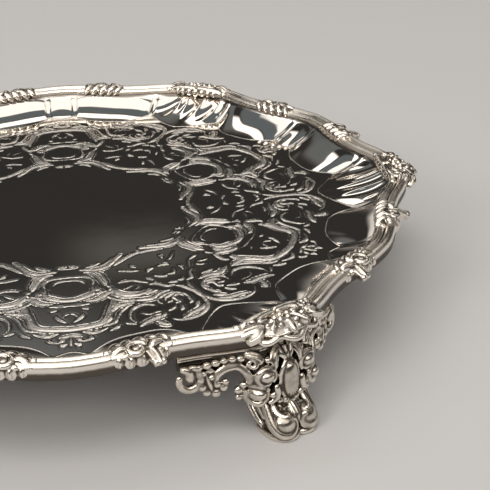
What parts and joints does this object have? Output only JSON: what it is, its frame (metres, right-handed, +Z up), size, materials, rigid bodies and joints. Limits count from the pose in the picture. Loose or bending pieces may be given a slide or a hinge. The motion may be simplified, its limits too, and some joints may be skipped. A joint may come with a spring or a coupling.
{
  "type": "footed silver salver",
  "caption": "Round shaped silver salver with a chased plate, a reeded border with cast shell and leaf mounts, and scroll feet under pierced aprons.",
  "frame": {"origin": "centre of the bounding box in plan, which is the centre of the plate, at the level of the surface the three feet stand on", "axes": "+Z up through the plate; -Y towards the first shell corner, which has a foot under it; +X to its right"},
  "size_m": [0.2866, 0.3046, 0.0466],
  "materials": {
    "chased_sheet_silver": "hand-polished sterling silver sheet, flat-chased, with darker tone left in the chasing",
    "polished_border_silver": "bright polished cast silver reeding",
    "cast_mount_silver": "polished cast silver, oxidised in the recesses",
    "cast_foot_silver": "polished cast silver, oxidised in the recesses, matt-punched grounds"
  },
  "bodies": {
    "root": {"tray_body": "chased_sheet_silver", "border_section_1": "polished_border_silver", "border_section_2": "polished_border_silver", "border_section_3": "polished_border_silver", "border_section_4": "polished_border_silver", "border_section_5": "polished_border_silver", "border_section_6": "polished_border_silver", "shell_mount_1": "cast_mount_silver", "shell_mount_2": "cast_mount_silver", "shell_mount_3": "cast_mount_silver", "shell_mount_4": "cast_mount_silver", "shell_mount_5": "cast_mount_silver", "shell_mount_6": "cast_mount_silver", "leaf_mount_1": "cast_mount_silver", "leaf_mount_2": "cast_mount_silver", "leaf_mount_3": "cast_mount_silver", "leaf_mount_4": "cast_mount_silver", "leaf_mount_5": "cast_mount_silver", "leaf_mount_6": "cast_mount_silver", "leaf_mount_7": "cast_mount_silver", "leaf_mount_8": "cast_mount_silver", "leaf_mount_9": "cast_mount_silver", "leaf_mount_10": "cast_mount_silver", "leaf_mount_11": "cast_mount_silver", "leaf_mount_12": "cast_mount_silver", "foot_apron_1": "cast_foot_silver", "foot_apron_2": "cast_foot_silver", "foot_apron_3": "cast_foot_silver", "foot_leg_1": "cast_foot_silver", "foot_leg_2": "cast_foot_silver", "foot_leg_3": "cast_foot_silver"}
  },
  "joints": []
}
